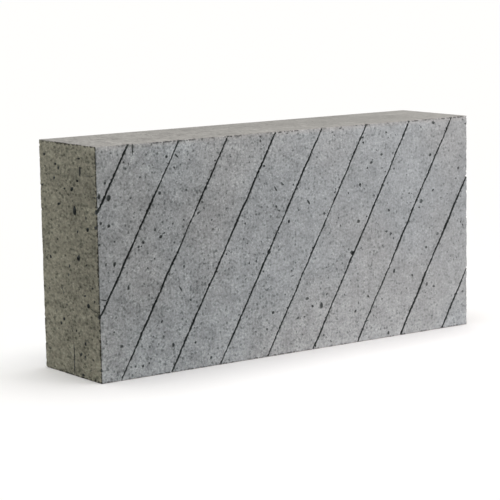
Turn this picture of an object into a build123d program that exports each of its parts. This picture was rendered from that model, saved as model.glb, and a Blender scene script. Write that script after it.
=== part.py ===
from build123d import *
import math
import os

# Aerated concrete block, one cast and wire-cut piece. Millimetres.
# X runs along the length, Y through the thickness with the scored face at -Y,
# Z up from the bed it rests on. The origin is at the middle of the underside.

# Standard work size of the block
block_length = 440.0
block_height = 215.0
block_thickness = 100.0

# The cut arrises are very slightly rounded
arris_radius = 0.8

# Scored key lines on the front face: straight, slanted and evenly spaced
score_pitch = 55.0
score_slant_deg = 60.0
score_width = 2.2
score_depth = 4.0

NODE = "block"


def body():
    """The plain block with its arrises eased, standing on its bed."""
    block = Box(
        block_length,
        block_thickness,
        block_height,
        align=(Align.CENTER, Align.CENTER, Align.MIN),
    )
    if arris_radius > 0:
        block = fillet(block.edges(), arris_radius)
    return block


def score_centres():
    """Where the scored lines cross mid-height, kept symmetrical about the middle."""
    half_run = block_height / 2 / math.tan(math.radians(score_slant_deg))
    reach = block_length / 2 + half_run
    count_per_side = math.ceil(reach / score_pitch)
    offsets = [(number + 0.5) * score_pitch for number in range(count_per_side)]
    inside = [offset for offset in offsets if offset < reach - score_width]
    return sorted([-offset for offset in inside] + inside)


def score_cutter():
    """One round-bottomed groove tool, long enough to run out of the block both ways."""
    root_radius = score_width / 2
    straight = score_depth - root_radius
    length = block_length + 2 * block_height
    tool = Box(length, 2 * straight, score_width)
    root = Pos(0, straight, 0) * Rot(0, 90, 0) * Cylinder(root_radius, length)
    return Rot(0, -score_slant_deg, 0) * (tool + root)


def block_part():
    tool = score_cutter()
    cutters = [
        Pos(centre, -block_thickness / 2, block_height / 2) * tool
        for centre in score_centres()
    ]
    return body() - cutters


part = block_part()
part.label = NODE

os.makedirs("parts", exist_ok=True)
export_step(part, f"parts/{NODE}.step")
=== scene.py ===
import math
import random

import bmesh
import bpy
from mathutils import Euler, Matrix, Quaternion, Vector, noise


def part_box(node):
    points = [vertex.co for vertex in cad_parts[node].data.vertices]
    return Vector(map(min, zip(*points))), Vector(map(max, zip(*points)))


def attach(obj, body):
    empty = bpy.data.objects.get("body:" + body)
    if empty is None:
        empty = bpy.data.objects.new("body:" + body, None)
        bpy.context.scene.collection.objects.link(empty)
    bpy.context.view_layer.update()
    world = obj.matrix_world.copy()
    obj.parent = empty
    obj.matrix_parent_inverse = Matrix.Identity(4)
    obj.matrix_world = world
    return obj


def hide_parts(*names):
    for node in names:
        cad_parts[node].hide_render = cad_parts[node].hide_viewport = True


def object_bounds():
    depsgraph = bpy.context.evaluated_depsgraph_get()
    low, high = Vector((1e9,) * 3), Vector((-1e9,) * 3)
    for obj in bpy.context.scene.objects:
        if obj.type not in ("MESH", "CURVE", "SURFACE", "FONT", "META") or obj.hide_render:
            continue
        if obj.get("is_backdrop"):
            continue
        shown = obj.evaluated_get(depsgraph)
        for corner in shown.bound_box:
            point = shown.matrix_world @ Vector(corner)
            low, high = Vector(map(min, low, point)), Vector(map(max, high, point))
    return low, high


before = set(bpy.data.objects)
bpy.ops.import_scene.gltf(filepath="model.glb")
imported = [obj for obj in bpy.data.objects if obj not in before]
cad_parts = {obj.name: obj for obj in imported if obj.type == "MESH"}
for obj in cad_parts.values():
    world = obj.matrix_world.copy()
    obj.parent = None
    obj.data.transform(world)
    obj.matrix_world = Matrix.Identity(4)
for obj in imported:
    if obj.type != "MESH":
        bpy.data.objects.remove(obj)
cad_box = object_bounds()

# Metres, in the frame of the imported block: X along the length, Y through the thickness with the
# scored face at -Y, Z up from the bed. The sizes of the block itself come from that frame.
LOW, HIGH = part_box("block")
LENGTH, THICKNESS, HEIGHT = HIGH - LOW
CENTRE = (LOW + HIGH) / 2
MM = 0.001

# The scored lines, as in the block's source
SCORE_PITCH = 55 * MM
SCORE_SLANT = math.radians(60)
SCORE_WIDTH = 2.2 * MM
SCORE_DEPTH = 4.0 * MM

# How a cut line is drawn: its rings along the line and its sides, how far it wanders and tears, and
# over what length it wanders, tears and swells
LINE_STEP = 1.6 * MM
LINE_SIDES = 8
LINE_WANDER = 0.6 * MM
LINE_TEAR = 1.0 * MM
WANDER_LENGTH = 16 * MM
TEAR_LENGTH = 1.9 * MM
TEAR_HEIGHT = 2 * MM
SHORT_SWELL = 5 * MM
LONG_SWELL = 45 * MM
LIP_DEPTH = 0.6 * MM
FINEST_TAPER = 0.12

# The cut arrises: their radius, how finely they are divided, and how far and over what length they wear
ARRIS_RADIUS = 0.5 * MM
ARRIS_STEP = 3.0 * MM
ARRIS_WEAR = 0.7 * MM
COARSE_WEAR = 9 * MM
FINE_WEAR = 3 * MM
ON_A_FACE = 1e-7
FLAT_ENOUGH = math.radians(0.05)
SHARP_FROM = math.radians(38)

# How far apart the bites out of the arrises and the ticks along the scored lines are
CHIP_SPACING = {"upright": 2.6 * MM, "level": 4.5 * MM}
TICK_SPACING = 4 * MM

# The faces of the block: which way each looks, and how many bubbles it shows
FACES = {
    "front": (Vector((0, -1, 0)), 1.15),
    "back": (Vector((0, 1, 0)), 1.0),
    "left_end": (Vector((-1, 0, 0)), 1.4),
    "right_end": (Vector((1, 0, 0)), 1.0),
    "top": (Vector((0, 0, 1)), 0.2),
    "underside": (Vector((0, 0, -1)), 0.1),
}

# Bubbles cut open by the faces: how many on each 100 cm2, and their smallest and largest radius
BUBBLES = {
    "large": (12, 1.0 * MM, 1.9 * MM),
    "medium": (17, 0.75 * MM, 1.2 * MM),
    "small": (5, 0.4 * MM, 0.6 * MM),
}
SLITS_PER_100_CM2 = 6
SQUARE_DECIMETRE = 0.01
TWIN_SHARE = 0.35
TWIN_SIZE = 0.6
TWIN_SHIFT = 0.9

# How a bubble is shaped, how far it keeps from the others, and from what radius it is drawn finely
BUBBLE_SHAPES = 8
BUBBLE_SWELL = 0.28
BUBBLE_GAP = 0.12 * MM
BUBBLE_CELL = 6 * MM
FINE_BUBBLE = 1.7 * MM
COARSE_BUBBLE = 1.0 * MM

# How a listed void is cut: how deep its bowl is for its breadth, how far its middle is
# sunk, and its two radii for its length and its breadth
BOWL = {"front": 0.45, "left_end": 0.6}
BOWL_SUNK = 0.3
BOWL_LONG = 0.61
BOWL_SHORT = 0.67

# Voids that can be told apart on the front face, in millimetres: from the left edge, below the top,
# long, short, and the slope of the long way in degrees
FRONT_VOIDS = (
    (12.5, 47, 5.0, 3.6, 90), (2.5, 45, 4.0, 2.6, 90), (3.5, 69, 2.6, 2.4, 0), (12, 72, 2.8, 2.6, 0),
    (9, 33, 2.6, 2.2, 0), (86, 14, 4.6, 1.5, -40), (67, 47, 3.0, 2.6, 0), (61, 80, 3.0, 2.0, 90),
    (67, 87, 3.6, 2.2, 30), (71, 84, 2.4, 1.6, 50), (43, 94, 2.6, 1.8, 40), (17, 107, 4.0, 2.4, 70),
    (31, 130, 4.2, 2.0, 80), (109, 69, 3.0, 2.0, 30), (189, 114, 3.8, 3.0, 30), (174, 121, 2.2, 2.0, 0),
    (206, 50, 4.2, 1.6, -40), (198, 54, 5.0, 1.4, -55), (22, 183, 3.0, 2.6, 0), (78, 189, 3.8, 2.6, 80),
    (315, 38, 3.2, 2.2, 0), (328, 31, 2.8, 2.4, 0), (391, 36, 3.2, 2.4, 40), (395, 4, 3.6, 2.4, 0),
    (379, 82, 3.8, 2.8, 40), (339, 111, 3.0, 2.2, 0), (290, 125, 4.2, 3.2, -50), (234, 164, 3.8, 2.2, 0),
    (251, 173, 5.4, 3.2, 80), (386, 167, 3.8, 1.8, 90), (395, 170, 2.8, 2.4, 0), (434, 180, 2.6, 2.0, 0),
    (343, 149, 3.8, 2.2, 80), (256, 83, 2.8, 2.4, 0), (237, 70, 4.8, 1.7, -50), (385, 129, 2.8, 2.2, 90),
)

# The same on the left end, from its far edge
LEFT_END_VOIDS = (
    (61, 61, 7.4, 5.0, 85), (65.5, 104, 5.4, 4.2, 10), (60.5, 107.5, 4.0, 3.0, 0), (83, 76, 4.6, 3.0, 5),
    (97, 73, 4.0, 3.0, 0), (72, 24, 8.0, 2.8, 85), (71, 12.5, 4.4, 1.6, 5), (80.5, 146, 4.8, 3.6, 20),
    (36, 164, 3.6, 2.6, 20), (31, 168.5, 3.2, 2.6, 20), (58, 172, 3.0, 2.2, 0), (73, 182, 3.2, 2.8, 0),
    (65, 193, 4.4, 2.4, 40), (68, 212, 4.2, 2.2, 0), (29, 20.5, 3.6, 2.0, 0), (34, 24, 3.0, 2.4, 0),
    (9, 13, 3.4, 2.2, 0), (26, 33.5, 3.4, 2.4, 10), (57, 41.5, 5.4, 2.8, 30), (33, 57, 5.2, 1.8, 15),
    (67, 33, 4.0, 1.9, 0), (15, 108, 3.0, 2.6, 0), (49, 113, 3.0, 2.4, 60), (3.5, 42, 3.0, 2.0, 0),
    (75, 137.5, 3.4, 1.6, 10), (86, 195, 3.0, 1.8, 0), (44, 42, 3.2, 1.6, 10),
)

# Fine lines in the two faces that show: face, from its left edge, below the top, the same for the
# other end, width and depth, all in millimetres
FISSURES = (
    ("left_end", 52.5, 180, 52.5, 222, 2.2, 2.2),
    ("left_end", 71.5, 28, 76.5, 12, 1.4, 1.3),
    ("left_end", 82, 148, 99, 151, 1.1, 1.0),
    ("left_end", 78, 28, 99, 26, 1.0, 1.0),
    ("front", 39.5, -5, 38.8, 11, 1.6, 1.4),
    ("front", 0.5, 137, 9, 139.5, 1.3, 1.2),
    ("front", 86, 134, 89.5, 141, 1.6, 1.4),
)


# Meshes

def mesh_object(name, bm):
    """Turns a bmesh into an object in the scene."""
    mesh = bpy.data.meshes.new(name)
    bm.to_mesh(mesh)
    bm.free()
    made = bpy.data.objects.new(name, mesh)
    bpy.context.scene.collection.objects.link(made)
    return made


def join_into(bm, part):
    """Adds one bmesh to another and frees it."""
    mesh = bpy.data.meshes.new("joined")
    part.to_mesh(mesh)
    part.free()
    bm.from_mesh(mesh)
    bpy.data.meshes.remove(mesh)


def carve(block, tool):
    """Cuts the tool out of the block for good, and throws the tool away."""
    cut = block.modifiers.new("carve", "BOOLEAN")
    cut.operation = "DIFFERENCE"
    cut.solver = "MANIFOLD"
    cut.object = tool
    depsgraph = bpy.context.evaluated_depsgraph_get()
    carved = bpy.data.meshes.new_from_object(block.evaluated_get(depsgraph))
    block.modifiers.remove(cut)
    block.data = carved
    bpy.data.objects.remove(tool)


def plain_block():
    """The block before the bubbles: a box with its arrises eased and worn unevenly."""
    bm = bmesh.new()
    bmesh.ops.create_cube(bm, size=1.0)
    bmesh.ops.scale(bm, vec=(LENGTH, THICKNESS, HEIGHT), verts=bm.verts)
    bmesh.ops.bevel(
        bm,
        geom=bm.edges,
        offset=ARRIS_RADIUS,
        offset_type="OFFSET",
        segments=2,
        profile=0.5,
        affect="EDGES",
        material=-1,
    )
    for side in (LENGTH, THICKNESS, HEIGHT):
        run = side - 2 * ARRIS_RADIUS
        alike = [edge for edge in bm.edges if abs(edge.calc_length() - run) < MM]
        bmesh.ops.subdivide_edges(bm, edges=alike, cuts=round(run / ARRIS_STEP))
    for vert in bm.verts:
        wear_arris(vert)
    bmesh.ops.dissolve_limit(bm, angle_limit=FLAT_ENOUGH, verts=bm.verts, edges=bm.edges)
    bmesh.ops.translate(bm, vec=CENTRE, verts=bm.verts)
    return mesh_object("block_skin", bm)


def wear_arris(vert):
    """Draws a vertex of the rounded arris into the block, but never off a face that it lies on."""
    place = vert.co.copy()
    coarse = noise.noise(place / COARSE_WEAR)
    fine = noise.noise(place / FINE_WEAR + Vector((7, 3, 5)))
    upright = abs(place.z) < HEIGHT / 2 - 2 * ARRIS_RADIUS
    wear = ARRIS_WEAR * max(0.0, 0.25 + 0.6 * coarse + (1.3 if upright else 0.7) * fine)
    for axis, half in enumerate((LENGTH / 2, THICKNESS / 2, HEIGHT / 2)):
        gap = half - abs(place[axis])
        if ON_A_FACE < gap < ARRIS_RADIUS * 1.05:
            vert.co[axis] -= math.copysign(wear, place[axis])


# Places on the faces

def face_axes(face):
    """The ways right and up along a face, seen from outside, and the way into the block."""
    outward = FACES[face][0]
    up = Vector((0, 1, 0)) if abs(outward.z) > 0.5 else Vector((0, 0, 1))
    return up.cross(outward), up, -outward


def face_size(face):
    right, up, _ = face_axes(face)
    size = HIGH - LOW
    return abs(right.dot(size)), abs(up.dot(size))


def face_point(face, along, below, depth=0.0):
    """A point on a face, from its left edge and its top edge, sunk by a depth into the block."""
    right, up, inward = face_axes(face)
    width, height = face_size(face)
    half_deep = abs(inward.dot(HIGH - LOW)) / 2
    point = CENTRE + right * (along - width / 2)
    point += up * (height / 2 - below)
    return point + inward * (depth - half_deep)


def slope_on(face, slope):
    """Turns a void's own axes: X along a slope on the face, Y into the block."""
    right, up, inward = face_axes(face)
    along = right * math.cos(slope) + up * math.sin(slope)
    across = along.cross(inward)
    return Matrix((along, inward, across)).transposed().to_quaternion()


# Bubbles

def bubble_shapes(level):
    """A few uneven bubbles of radius 1, to be copied many times."""
    shapes = []
    for number in range(BUBBLE_SHAPES):
        bm = bmesh.new()
        bmesh.ops.create_icosphere(bm, subdivisions=level, radius=1.0)
        for vert in bm.verts:
            vert.co *= 1 + BUBBLE_SWELL * noise.noise(vert.co * 1.3 + Vector((number * 9.1, 0, level)))
        shape = bpy.data.meshes.new(f"bubble_{level}_{number}")
        bm.to_mesh(shape)
        bm.free()
        shapes.append(shape)
    return shapes


class BubbleTool:
    """Gathers bubbles that keep clear of each other into one cutting mesh."""

    def __init__(self, seed):
        self.random = random.Random(seed)
        self.shapes = {level: bubble_shapes(level) for level in (1, 2, 3)}
        self.bm = bmesh.new()
        self.cells = {}

    def cell(self, place):
        return tuple(math.floor(value / BUBBLE_CELL) for value in place)

    def is_clear(self, place, reach):
        """Whether a ball of that reach would touch none of the others."""
        here = self.cell(place)
        for step in ((x, y, z) for x in (-1, 0, 1) for y in (-1, 0, 1) for z in (-1, 0, 1)):
            near = tuple(one + other for one, other in zip(here, step))
            for other, other_reach in self.cells.get(near, ()):
                if (place - other).length < reach + other_reach + BUBBLE_GAP:
                    return False
        return True

    def add(self, place, radii, turn):
        """Adds one bubble with a radius along each of its own axes, if there is room for it."""
        swell = 1 + BUBBLE_SWELL / 2
        long_way = radii.index(max(radii))
        reach = sorted(radii)[1] * swell
        spread = max(radii) * swell - reach
        direction = turn.to_matrix().col[long_way]
        count = math.ceil(spread / reach)
        outer_steps = [side * number / count for number in range(1, count + 1) for side in (-1, 1)]
        balls = [place + direction * spread * step for step in [0.0] + outer_steps]
        if not all(self.is_clear(ball, reach) for ball in balls):
            return False
        breadth = (max(radii) + sorted(radii)[1]) / 2
        level = 3 if breadth > FINE_BUBBLE else 2 if breadth > COARSE_BUBBLE else 1
        shape = self.random.choice(self.shapes[level]).copy()
        shape.transform(Matrix.LocRotScale(place, turn, Vector(radii)))
        self.bm.from_mesh(shape)
        bpy.data.meshes.remove(shape)
        for ball in balls:
            self.cells.setdefault(self.cell(ball), []).append((ball, reach))
        return True

    def any_turn(self):
        return Euler([self.random.uniform(0, math.tau) for _ in range(3)])

    def tool(self, name):
        for shapes in self.shapes.values():
            for shape in shapes:
                bpy.data.meshes.remove(shape)
        return mesh_object(name, self.bm)


def place_seen_voids(bubbles):
    """The voids that can be told apart in the photo, where they are."""
    for face, voids in (("front", FRONT_VOIDS), ("left_end", LEFT_END_VOIDS)):
        for along, below, long, short, slope in voids:
            deep = BOWL[face] * (long + short) / 2
            place = face_point(face, along * MM, below * MM, BOWL_SUNK * deep * MM)
            radii = [BOWL_LONG * long * MM, deep * MM, BOWL_SHORT * short * MM]
            bubbles.add(place, radii, slope_on(face, math.radians(slope)))


def random_place(rng, face, depth):
    width, height = face_size(face)
    return face_point(face, rng.random() * width, rng.random() * height, depth)


def scatter_bubbles(bubbles, twins):
    """Bubbles cut open by the six faces, the largest first, and some with a twin grown into them."""
    rng = bubbles.random
    for amount, small, large in BUBBLES.values():
        for face, (_, share) in FACES.items():
            width, height = face_size(face)
            for _ in range(round(amount * share * width * height / SQUARE_DECIMETRE)):
                radius = small + (large - small) * rng.random() ** 2
                flat = rng.uniform(0.45, 1.0)
                place = random_place(rng, face, rng.uniform(-0.1, 0.5) * radius * flat)
                radii = [radius, radius * flat, radius * rng.uniform(0.7, 1.0)]
                placed = bubbles.add(place, radii, bubbles.any_turn())
                if placed and rng.random() < TWIN_SHARE:
                    turn = bubbles.any_turn()
                    shift = turn.to_matrix() @ Vector((radius * TWIN_SHIFT, 0, 0))
                    twins.add(place + shift, [TWIN_SIZE * value for value in radii], turn)


def scatter_slits(bubbles):
    """Short torn slits, most of them leaning, where the cut dragged a bubble's wall out."""
    rng = bubbles.random
    for face, (_, share) in FACES.items():
        width, height = face_size(face)
        for _ in range(round(SLITS_PER_100_CM2 * share * width * height / SQUARE_DECIMETRE)):
            half_long = rng.uniform(0.9, 2.2) * MM
            half_short = rng.uniform(0.3, 0.5) * MM
            slope = math.radians(rng.choice((-1, 1)) * rng.uniform(20, 80))
            place = random_place(rng, face, 0.2 * MM)
            radii = [half_long, rng.uniform(0.6, 1.2) * MM, half_short]
            bubbles.add(place, radii, slope_on(face, slope))


def arris_ends():
    """The two ends of each of the block's twelve arrises."""
    for axis in range(3):
        first, second = [other for other in range(3) if other != axis]
        for one in (LOW, HIGH):
            for other in (LOW, HIGH):
                start, end = LOW.copy(), HIGH.copy()
                start[first] = end[first] = one[first]
                start[second] = end[second] = other[second]
                yield start, end


def chip_arrises(chips):
    """Small bites out of the arrises, where bubbles broke open at the edge."""
    rng = chips.random
    for start, end in arris_ends():
        outward = ((start + end) / 2 - CENTRE).normalized()
        spacing = CHIP_SPACING["level" if start.z == end.z else "upright"]
        for _ in range(round((end - start).length / spacing)):
            radius = (0.6 + 1.1 * rng.random() ** 3) * MM
            place = start.lerp(end, rng.random()) + outward * radius * rng.uniform(-0.2, 0.35)
            radii = [radius, radius * rng.uniform(0.5, 1.0), radius * rng.uniform(0.7, 1.3)]
            chips.add(place, radii, chips.any_turn())


# Cut lines

def straight_line(length, radius, depth):
    """A round-rooted tool along Z that reaches from Y = 0 to its depth, cut into rings along its way."""
    line = bmesh.new()
    bmesh.ops.create_cone(
        line, cap_ends=True, segments=LINE_SIDES, radius1=radius, radius2=radius, depth=length
    )
    sides = [edge for edge in line.edges if edge.calc_length() > length / 2]
    bmesh.ops.subdivide_edges(line, edges=sides, cuts=max(4, round(length / LINE_STEP)))
    for vert in line.verts:
        vert.co.y += math.copysign(depth - radius, vert.co.y + radius / 100)
    bmesh.ops.bisect_plane(
        line, geom=line.verts[:] + line.edges[:] + line.faces[:], plane_co=(0, 0, 0), plane_no=(0, 1, 0)
    )
    return line


def cut_line(bm, start, end, inward, width, depth, pointed, seed):
    """Adds a tool that cuts a wandering line with torn lips, and with pointed or open ends."""
    along = (end - start).normalized()
    across = inward.cross(along)
    length = (end - start).length
    radius = width / 2
    middle = (start + end) / 2
    line = straight_line(length, radius, depth)
    for vert in line.verts:
        side, deep, run = vert.co
        share = min(1.0, max(0.0, run / length + 0.5))
        taper = max(FINEST_TAPER, math.sin(math.pi * share) ** 0.6) if pointed else 1.0
        at_lip = max(0.0, 1 - abs(deep) / LIP_DEPTH)
        wander = LINE_WANDER * noise.noise(Vector((run / WANDER_LENGTH, seed, 0)))
        tear_place = Vector((run / TEAR_LENGTH, deep / TEAR_HEIGHT, seed + side / radius * 5))
        torn = LINE_TEAR * noise.noise(tear_place)
        swell = 0.90 + 0.2 * noise.noise(Vector((run / SHORT_SWELL, seed, 4))) + 0.16 * at_lip
        swell += 0.5 * noise.noise(Vector((run / LONG_SWELL, seed, 8)))
        sideways = side * swell * taper + (wander + torn * (0.5 + 0.5 * at_lip)) * taper
        vert.co = middle + along * run + across * sideways + inward * deep * taper
    join_into(bm, line)


def score_centres():
    """Where the scored lines cross mid-height."""
    reach = LENGTH / 2 + HEIGHT / 2 / math.tan(SCORE_SLANT)
    count = math.ceil(reach / SCORE_PITCH)
    offsets = [(number + 0.5) * SCORE_PITCH for number in range(-count, count)]
    return [offset for offset in offsets if abs(offset) < reach - SCORE_WIDTH]


def score_ends(centre):
    """The two ends of a scored line, a little outside the bed faces."""
    middle = Vector((centre, LOW.y, CENTRE.z))
    half_run = HEIGHT / 2 / math.sin(SCORE_SLANT) + 3 * MM
    reach = Vector((math.cos(SCORE_SLANT), 0, math.sin(SCORE_SLANT))) * half_run
    return middle - reach, middle + reach


def line_tool():
    """The tools for the scored key lines and for the fine fissures."""
    bm = bmesh.new()
    inward = face_axes("front")[2]
    for centre in score_centres():
        start, end = score_ends(centre)
        cut_line(bm, start, end, inward, SCORE_WIDTH, SCORE_DEPTH, pointed=False, seed=centre * 91)
    for number, (face, along, below, to_along, to_below, width, depth) in enumerate(FISSURES):
        start = face_point(face, along * MM, below * MM)
        end = face_point(face, to_along * MM, to_below * MM)
        inward = face_axes(face)[2]
        cut_line(bm, start, end, inward, width * MM, depth * MM, pointed=True, seed=number * 7.3)
    bmesh.ops.recalc_face_normals(bm, faces=bm.faces)
    return mesh_object("line_tool", bm)


def tear_scores(chips):
    """Crumbs and short ticks torn from the lips of the scored lines."""
    rng = chips.random
    for centre in score_centres():
        start, end = score_ends(centre)
        across = face_axes("front")[2].cross((end - start).normalized())
        for _ in range(round((end - start).length / TICK_SPACING)):
            radius = (0.5 + 0.8 * rng.random() ** 2) * MM
            side = rng.choice((-1, 1)) * (SCORE_WIDTH / 2 + radius * 0.3)
            place = start.lerp(end, rng.random()) + across * side
            if abs(place.x) < LENGTH / 2:
                slope = rng.uniform(0, math.pi)
                radii = [radius, radius * 0.8, radius * rng.uniform(0.3, 0.8)]
                chips.add(place, radii, slope_on("front", slope))


def shells_of(bm):
    """The vertices of each connected part of a mesh."""
    seen = set()
    shells = []
    for vert in bm.verts:
        if vert in seen:
            continue
        seen.add(vert)
        shell, waiting = [], [vert]
        while waiting:
            here = waiting.pop()
            shell.append(here)
            for other in (edge.other_vert(here) for edge in here.link_edges):
                if other not in seen:
                    seen.add(other)
                    waiting.append(other)
        shells.append(shell)
    return shells


def largest_shell(block):
    """Removes crumbs that the cuts left loose, so that one closed shell is left."""
    bm = bmesh.new()
    bm.from_mesh(block.data)
    shells = sorted(shells_of(bm), key=len)
    loose = [vert for shell in shells[:-1] for vert in shell]
    bmesh.ops.delete(bm, geom=loose, context="VERTS")
    bm.to_mesh(block.data)
    bm.free()


def lies_on_side(face):
    """Whether a mesh face is a part of one of the block's six flat faces."""
    middle = face.calc_center_median() - CENTRE
    sides = zip(middle, face.normal, (LENGTH / 2, THICKNESS / 2, HEIGHT / 2))
    return any(abs(abs(place) - half) < 0.01 * MM and abs(tilt) > 0.9999 for place, tilt, half in sides)


def keep_sides_flat(block):
    """Marks the rim of every hole as sharp, so that the flat faces aren't shaded as if they bent."""
    bm = bmesh.new()
    bm.from_mesh(block.data)
    flat = {face for face in bm.faces if lies_on_side(face)}
    for face in flat:
        for edge in face.edges:
            edge.smooth = all(other in flat for other in edge.link_faces)
    bm.to_mesh(block.data)
    bm.free()


def build_block():
    block = plain_block()
    bubbles = BubbleTool(seed=11)
    chips = BubbleTool(seed=23)
    place_seen_voids(bubbles)
    scatter_bubbles(bubbles, chips)
    scatter_slits(bubbles)
    chip_arrises(chips)
    tear_scores(chips)
    carve(block, bubbles.tool("bubble_tool"))
    carve(block, chips.tool("chip_tool"))
    carve(block, line_tool())
    largest_shell(block)
    block.data.shade_smooth()
    block.data.set_sharp_from_angle(angle=SHARP_FROM)
    keep_sides_flat(block)
    return block


# Material

class Value:
    """A number in a material, so that shader maths reads as plain Python."""

    def __init__(self, look, socket):
        self.look = look
        self.socket = socket

    def apply(self, operation, first, second=None):
        values = {0: first} if second is None else {0: first, 1: second}
        return self.look.node("ShaderNodeMath", {"operation": operation}, values)

    def __add__(self, other):
        return self.apply("ADD", self, other)

    def __radd__(self, other):
        return self.apply("ADD", other, self)

    def __sub__(self, other):
        return self.apply("SUBTRACT", self, other)

    def __rsub__(self, other):
        return self.apply("SUBTRACT", other, self)

    def __mul__(self, other):
        return self.apply("MULTIPLY", self, other)

    def __rmul__(self, other):
        return self.apply("MULTIPLY", other, self)

    def __truediv__(self, other):
        return self.apply("DIVIDE", self, other)

    def __abs__(self):
        return self.apply("ABSOLUTE", self)

    def __lt__(self, other):
        return self.apply("LESS_THAN", self, other)

    def fraction(self):
        return self.apply("FRACT", self)

    def least(self, other):
        return self.apply("MINIMUM", self, other)

    def most(self, other):
        return self.apply("MAXIMUM", self, other)


class Look:
    """Builds the nodes of one material."""

    def __init__(self, name):
        self.material = bpy.data.materials.new(name)
        self.material.use_nodes = True
        self.tree = self.material.node_tree
        self.surface = self.tree.nodes["Principled BSDF"]

    def node(self, kind, settings, sockets, output=0):
        """Adds a node: its settings first, then its sockets' values or links. Gives back one output."""
        made = self.tree.nodes.new(kind)
        for name, value in settings.items():
            setattr(made, name, value)
        for name, value in sockets.items():
            self.fill(made.inputs[name], value)
        return Value(self, made.outputs[output])

    def fill(self, socket, value):
        if isinstance(value, Value):
            self.tree.links.new(value.socket, socket)
        else:
            socket.default_value = value

    def object_place(self):
        return self.node("ShaderNodeTexCoord", {}, {}, "Object")

    def split(self, vector):
        """The three parts of a vector or a colour."""
        first = self.node("ShaderNodeSeparateXYZ", {}, {0: vector})
        return [Value(self, output) for output in first.socket.node.outputs]

    def step(self, value, start, end, low=0.0, high=1.0):
        """Eases from low to high as the value goes from start to end."""
        return self.node(
            "ShaderNodeMapRange",
            {"interpolation_type": "SMOOTHSTEP"},
            {"Value": value, "From Min": start, "From Max": end, "To Min": low, "To Max": high},
        )

    def scaled(self, place, factors):
        """Places multiplied by a factor along each axis."""
        sockets = {"Vector": place, "Scale": factors}
        return self.node("ShaderNodeMapping", {"vector_type": "POINT"}, sockets)

    def noise(self, place, size, detail, rough, stretch=(1, 1, 1)):
        """Noise from 0 to 1 with features of a size in metres, longer along an axis by its stretch."""
        stretched = self.scaled(place, [1 / (size * factor) for factor in stretch])
        return self.node(
            "ShaderNodeTexNoise",
            {"noise_dimensions": "3D"},
            {"Vector": stretched, "Scale": 1.0, "Detail": detail, "Roughness": rough},
        )

    def ragged(self, place, size, amount):
        """Shifts places by a small noise, so that what is drawn there gets a torn outline."""
        sockets = {"Vector": place, "Scale": 1 / size, "Detail": 1.0}
        shift = self.node("ShaderNodeTexNoise", {}, sockets, "Color")
        centred = self.vector_maths("SUBTRACT", shift, (0.5, 0.5, 0.5))
        return self.vector_maths("ADD", place, self.scale_vector(centred, amount))

    def mix(self, share, first, second):
        """Blends two colours."""
        return self.node("ShaderNodeMix", {"data_type": "RGBA"}, {0: share, 6: first, 7: second}, 2)

    def vector_maths(self, operation, first, second):
        return self.node("ShaderNodeVectorMath", {"operation": operation}, {0: first, 1: second})

    def scale_vector(self, vector, factor):
        """Multiplies a vector or a colour by a number."""
        return self.node("ShaderNodeVectorMath", {"operation": "SCALE"}, {0: vector, "Scale": factor})

    def pores(self, place, size, share, radius):
        """Bowl-shaped pores, up to 1 in their middle, in a share of the cells of a given size."""
        sockets = {"Vector": place, "Scale": 1 / size}
        distance = self.node("ShaderNodeTexVoronoi", {}, sockets, "Distance")
        chance, width, strength = self.split(Value(self, distance.socket.node.outputs["Color"]))
        reach = (0.35 + 0.65 * width) * (radius / size)
        inside = self.step(distance, reach, reach * 0.2)
        return inside * (chance < share) * (0.35 + 0.65 * strength)


# How large the patterns in the material are
SAND_SIZE = 0.5 * MM
GRAIN_SIZE = 1.7 * MM
CRUMB_SIZE = 2.6 * MM
PATCH_SIZE = 9.0 * MM
SWARM_SIZE = 26 * MM
CLOUD_SIZE = 45 * MM
TINT_SIZE = 110 * MM
STREAK_SIZE = 2.5 * MM
STREAK_STRETCH = (16, 1, 1)
DRAWN_OUT = (1, 0.62, 1)

# The pores in the material: the cells that they lie in, their largest radius, and their torn outline
PIN_CELL = 3.3 * MM
PIN_RADIUS = 2.4 * MM
OPEN_CELL = 4.2 * MM
OPEN_RADIUS = 1.9 * MM
PORE_TEAR_SIZE = 1.6 * MM
PORE_TEAR = 1.5 * MM

# How high the patterns stand in the bump
SAND_RELIEF = 0.20 * MM
GRAIN_RELIEF = 0.20 * MM
CRUMB_RELIEF = 0.5 * MM
PIN_RELIEF = 0.55 * MM
OPEN_RELIEF = 0.7 * MM

# The colours of the block, and how it shines
COOL_GREY = (0.281, 0.304, 0.308, 1)
WARM_GREY = (0.288, 0.303, 0.301, 1)
# The ends' own olive, made darker with painted shade.
END_OLIVE_AND_PAINTED_SHADE = (0.277, 0.269, 0.211, 1)
BED_BEIGE = (0.334, 0.325, 0.309, 1)
# The green that the painted shade in pores, hollows and scored lines takes on.
PAINTED_SHADE_TINT = (0.90, 1.0, 0.96)
ROUGHNESS = 0.95
SPECULAR = 0.15

# How near to a face counts as lying on it: from nothing to wholly
ON_SKIN = (0.6 * MM, 0.3 * MM)


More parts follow.
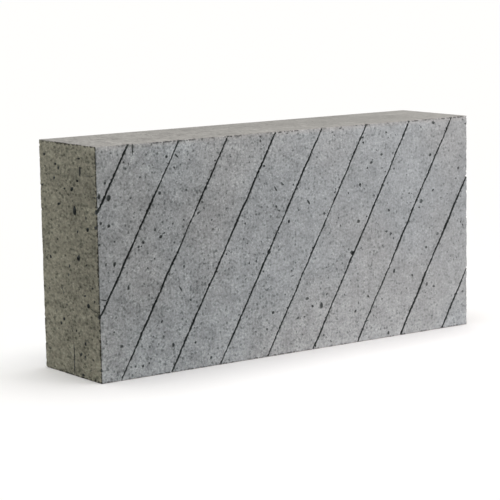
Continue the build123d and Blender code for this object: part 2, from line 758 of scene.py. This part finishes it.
class BlockLook(Look):
    """Cut aerated concrete: speckled pale grey, with painted shade in the bubbles, the pores and the
    scored lines.
    """

    def __init__(self):
        super().__init__("aerated_concrete")
        self.place = self.object_place()
        self.x, self.y, self.z = self.split(self.place)
        self.find_faces()
        self.find_scores()
        self.draw_patterns()
        self.draw_pores()
        self.paint()
        self.raise_relief()

    def find_faces(self):
        """How far a place lies from the faces, which it is on, and how rough the cut is there."""
        self.gap_end = LENGTH / 2 - abs(self.x)
        self.gap_side = THICKNESS / 2 - abs(self.y)
        self.gap_bed = HEIGHT / 2 - abs(self.z - CENTRE.z)
        self.depth = self.gap_end.least(self.gap_side).least(self.gap_bed)
        self.end = self.step(self.gap_end, *ON_SKIN)
        self.bed = self.step(self.gap_bed, *ON_SKIN)
        self.off_end = 1 - self.end
        rough_left = self.step(self.x, -LENGTH / 2, LENGTH / 2, 1.32, 0.82)
        self.cut = rough_left - self.bed * 0.38 + self.end * 0.15

    def find_scores(self):
        """How far a place lies from the nearest scored line, seen from the front."""
        run = self.x - (self.z - CENTRE.z) / math.tan(SCORE_SLANT)
        across = (run / SCORE_PITCH).fraction() - 0.5
        self.gap_score = abs(across) * (SCORE_PITCH * math.sin(SCORE_SLANT))

    def draw_patterns(self):
        self.drawn = self.scaled(self.place, DRAWN_OUT)
        self.sand = self.noise(self.drawn, SAND_SIZE, 3.0, 0.7)
        self.grain = self.noise(self.drawn, GRAIN_SIZE, 1.0, 0.6)
        self.crumb = self.noise(self.drawn, CRUMB_SIZE, 1.0, 0.5)
        self.patch = self.noise(self.drawn, PATCH_SIZE, 2.0, 0.5)
        self.swarm = self.noise(self.place, SWARM_SIZE, 2.0, 0.5)
        self.cloud = self.noise(self.place, CLOUD_SIZE, 3.0, 0.55)
        self.tint = self.noise(self.place, TINT_SIZE, 1.0, 0.5)
        self.streak = self.noise(self.place, STREAK_SIZE, 3.0, 0.6, STREAK_STRETCH)

    def draw_pores(self):
        """Pin pores and wider open ones, which crowd together in swarms."""
        ragged = self.ragged(self.drawn, PORE_TEAR_SIZE, PORE_TEAR)
        pin_share = self.step(self.swarm, 0.35, 0.65, 0.27, 0.56) + self.end * 0.14
        open_share = self.step(self.swarm, 0.35, 0.65, 0.03, 0.14)
        self.pin_pores = self.pores(ragged, PIN_CELL, pin_share, PIN_RADIUS)
        self.open_pores = self.pores(ragged, OPEN_CELL, open_share, OPEN_RADIUS)

    def body_colour(self):
        """Greys on the long sides, olive darkened with painted shade on the ends, beige on the beds and
        just under the top arris.
        """
        greys = self.mix(self.step(self.tint, 0.35, 0.65), COOL_GREY, WARM_GREY)
        with_ends = self.mix(self.end, greys, END_OLIVE_AND_PAINTED_SHADE)
        margin = self.step(self.z, HEIGHT - 6 * MM, HEIGHT, 0.0, 0.45) * self.off_end
        return self.mix(margin.most(self.bed), with_ends, BED_BEIGE)

    def grain_tone(self):
        """Sand, grain, crumbs and small patches, stronger where the cut is rough, with painted shade in
        the small pits.
        """
        pale_crumbs = self.step(self.grain, 0.60, 0.76)
        # Painted shade in the small pits, where the crumb relief is lowest.
        painted_pit_shade = self.step(self.crumb, 0.50, 0.26)
        grain = (self.grain - 0.5) * 0.50 + (self.sand - 0.5) * 0.25 + pale_crumbs * 0.15
        crumbs = (self.crumb - 0.5) * 0.50 - painted_pit_shade * 0.12
        patches = (self.patch - 0.5) * 0.58 * (self.cut - self.end * 0.45)
        return (1 + grain * self.cut) * (1.01 + crumbs * self.cut) * (1 + patches)

    def cloud_and_painted_light_tone(self):
        """Wide clouds, streaks on the beds, faces paler towards the beds, and painted light: paler low
        down and at the bottom of a long side, with painted shade across its middle.
        """
        clouds = 0.950 + (self.cloud - 0.5) * 0.30
        streaks = 1 + (self.streak - 0.5) * 0.80 * self.bed
        wide_edge = self.step(self.gap_bed, 60 * MM, 0.0, 1.0, 1.10)
        thin_edge = self.step(self.gap_bed, 20 * MM, 0.0, 1.0, 1.07)
        # Painted light: lighter low down and at the bottom of a long side, and painted shade across its
        # middle.
        painted_light_below = self.step(self.z, 0.0, HEIGHT, 1.07, 0.95)
        painted_light_at_bottom = 1 + self.step(self.z, 14 * MM, 3 * MM) * self.off_end * 0.08
        painted_shade_at_middle = 1 - self.step(self.gap_bed, 20 * MM, 80 * MM) * self.off_end * 0.055
        return clouds * streaks * wide_edge * thin_edge * painted_light_below * painted_light_at_bottom * painted_shade_at_middle

    def face_tone(self):
        """Beds paler to the front and with painted light to the right, ends with painted light at the
        back and painted shade at the front.
        """
        # Painted light on the beds towards the right end.
        painted_light_right = self.step(self.x, 0.3 * LENGTH, 0.48 * LENGTH) * 0.09
        pale_front = self.step(self.y, 0.0, -0.4 * THICKNESS) * 0.06
        # Painted light on the ends towards the back, more towards the top.
        painted_light_back = self.step(self.y, -0.1 * THICKNESS, 0.4 * THICKNESS)
        painted_light_back = painted_light_back * self.step(self.z, 0.0, HEIGHT, 0.04, 0.13)
        # Painted shade on the ends towards the front, away from the beds.
        painted_end_shade = self.step(self.y, 0.3 * THICKNESS, -0.4 * THICKNESS)
        painted_end_shade = painted_end_shade * self.step(self.gap_bed, 0.0, 60 * MM)
        beds = 1 + self.bed * (painted_light_right + pale_front)
        return beds * (1 + self.end * painted_light_back) * (1 - self.end * painted_end_shade * 0.12)

    def edge_tone(self):
        """Painted shade in ragged rims on the ends, dark dashes on the bed arrises, a painted highlight
        beside the scores.
        """
        # Painted shade along the ragged rims of the ends, strongest at the front.
        jittered_edge_gap = self.gap_side.least(self.gap_bed) + (self.crumb - 0.5) * (6 * MM)
        rim = self.step(jittered_edge_gap, 1.5 * MM, 0.9 * MM) * self.end
        rim = rim * self.step(self.y, 0.0, 0.4 * THICKNESS, 1.0, 0.5)
        lip = self.step(self.gap_bed, 2.0 * MM, 1.0 * MM) * self.step(self.gap_side, *ON_SKIN)
        dashes = self.step(self.crumb, 0.58, 0.48) * self.step(self.swarm, 0.54, 0.46)
        # A painted highlight on the lips beside the scored lines.
        painted_lip_highlight = self.step(self.gap_score, 2.4 * MM, 1.3 * MM) * self.step(self.patch, 0.40, 0.60)
        painted_lip_highlight = painted_lip_highlight * self.step(self.y, 0.0, -THICKNESS / 4)
        return (1 - rim * 0.72 - lip * dashes * 0.6) * (1 + painted_lip_highlight * 0.14)

    def shade(self):
        """How much light is left in pores and hollows, with the least in the scored lines."""
        pores = 1.01 - self.pin_pores * 0.38 * self.cut - self.open_pores * 0.62 * self.cut
        hollow = self.step(self.depth, 0.35 * MM, 1.0 * MM)
        near_front = self.step(self.y, 7 * MM - THICKNESS / 2, 5 * MM - THICKNESS / 2)
        in_score = self.step(self.gap_score, 3.2 * MM, 2.2 * MM) * near_front
        darkness = 0.64 - near_front * 0.18 + in_score * 0.25
        return pores.most(0.15) * (1 - hollow * darkness)

    def paint(self):
        # The shade is painted into the base colour: painted shade in pores, hollows and scored lines,
        # tinted green where it is darkest.
        shade = self.shade()
        tone = self.grain_tone() * self.cloud_and_painted_light_tone() * self.face_tone() * self.edge_tone()
        coloured = self.scale_vector(self.body_colour(), tone * shade)
        shade_tinted = self.vector_maths("MULTIPLY", coloured, PAINTED_SHADE_TINT)
        self.fill(self.surface.inputs["Base Color"], self.mix(1 - shade, coloured, shade_tinted))
        self.surface.inputs["Roughness"].default_value = ROUGHNESS
        self.surface.inputs["Specular IOR Level"].default_value = SPECULAR

    def raise_relief(self):
        relief = (
            (self.sand - 0.5) * SAND_RELIEF
            + (self.grain - 0.5) * GRAIN_RELIEF
            + (self.crumb - 0.5) * CRUMB_RELIEF
            - self.pin_pores * PIN_RELIEF
            - self.open_pores * OPEN_RELIEF
        )
        sockets = {"Strength": 1.0, "Distance": 1.0, "Height": relief * self.cut}
        self.fill(self.surface.inputs["Normal"], self.node("ShaderNodeBump", {}, sockets))


# Stage, light and camera

FLOOR_SIZE = 60.0
FLOOR_WHITE = (0.95, 0.95, 0.95, 1)
WHITE = (1, 1, 1, 1)

SKY_PLACE = (0.10, 0.08, 2.0)
SKY_AIM = (0, 0, 0)
SKY_POWER = 3.15
SKY_COLOUR = (1.0, 0.99, 0.975)
SKY_SPREAD = math.radians(60)

SIDE_PLACE = (0.20, -0.52, 0.12)
SIDE_AIM = (0.14, -0.05, 0.05)
SIDE_POWER = 1.5
SIDE_COLOUR = (1.0, 0.91, 0.94)
SIDE_SIZE = 0.24

AMBIENT = 0.06

CAMERA_PLACE = Vector((-1.1402, -1.5669, 0.3900))
CAMERA_AIM = Vector((-0.0530, -0.0500, 0.1054))
CAMERA_ROLL = math.radians(-0.993)
CAMERA_LENS = 144.2
SENSOR = 36.0


def pale_floor():
    bm = bmesh.new()
    bmesh.ops.create_grid(bm, x_segments=1, y_segments=1, size=FLOOR_SIZE / 2)
    floor = mesh_object("floor", bm)
    paint = bpy.data.materials.new("floor_paint")
    paint.use_nodes = True
    surface = paint.node_tree.nodes["Principled BSDF"]
    surface.inputs["Base Color"].default_value = FLOOR_WHITE
    surface.inputs["Roughness"].default_value = 1.0
    surface.inputs["Specular IOR Level"].default_value = 0.0
    floor.data.materials.append(paint)
    floor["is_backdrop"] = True


def lamp(name, kind, place, aim, energy, colour, **settings):
    data = bpy.data.lights.new(name, kind)
    data.energy = energy
    data.color = colour
    for setting, value in settings.items():
        setattr(data, setting, value)
    made = bpy.data.objects.new(name, data)
    made.location = place
    made.rotation_euler = (Vector(aim) - Vector(place)).to_track_quat("-Z", "Y").to_euler()
    bpy.context.scene.collection.objects.link(made)
    return made


def studio_lamps():
    lamp("sky_panel", "SUN", SKY_PLACE, SKY_AIM, SKY_POWER, SKY_COLOUR, angle=SKY_SPREAD)
    shape = {"shape": "SQUARE", "size": SIDE_SIZE}
    side = lamp("side_softbox", "AREA", SIDE_PLACE, SIDE_AIM, SIDE_POWER, SIDE_COLOUR, **shape)
    side.visible_camera = False


def studio_world():
    """A faint white glow that lights the scene, behind a white backdrop that only the camera sees."""
    world = bpy.data.worlds.new("studio")
    world.use_nodes = True
    tree = world.node_tree
    ambient = tree.nodes["Background"]
    ambient.inputs["Color"].default_value = WHITE
    ambient.inputs["Strength"].default_value = AMBIENT
    backdrop = tree.nodes.new("ShaderNodeBackground")
    backdrop.inputs["Color"].default_value = WHITE
    seen = tree.nodes.new("ShaderNodeLightPath")
    either = tree.nodes.new("ShaderNodeMixShader")
    tree.links.new(seen.outputs["Is Camera Ray"], either.inputs[0])
    tree.links.new(ambient.outputs[0], either.inputs[1])
    tree.links.new(backdrop.outputs[0], either.inputs[2])
    tree.links.new(either.outputs[0], tree.nodes["World Output"].inputs["Surface"])
    bpy.context.scene.world = world
    bpy.context.scene.view_settings.view_transform = "Standard"


def photo_camera():
    data = bpy.data.cameras.new("photo_camera")
    data.lens = CAMERA_LENS
    data.sensor_width = SENSOR
    camera = bpy.data.objects.new("photo_camera", data)
    camera.location = CAMERA_PLACE
    straight = (CAMERA_AIM - CAMERA_PLACE).to_track_quat("-Z", "Y")
    camera.rotation_euler = (straight @ Quaternion((0, 0, 1), CAMERA_ROLL)).to_euler()
    bpy.context.scene.collection.objects.link(camera)
    bpy.context.scene.camera = camera


photo_camera()
pale_floor()
studio_lamps()
studio_world()

block = build_block()
block.data.materials.clear()
block.data.materials.append(BlockLook().material)
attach(block, "root")
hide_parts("block")
print("block_skin triangles", sum(len(face.vertices) - 2 for face in block.data.polygons))

({name: [list(corner) for corner in box] for name, box in
           (("cad", cad_box), ("visual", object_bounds()))})
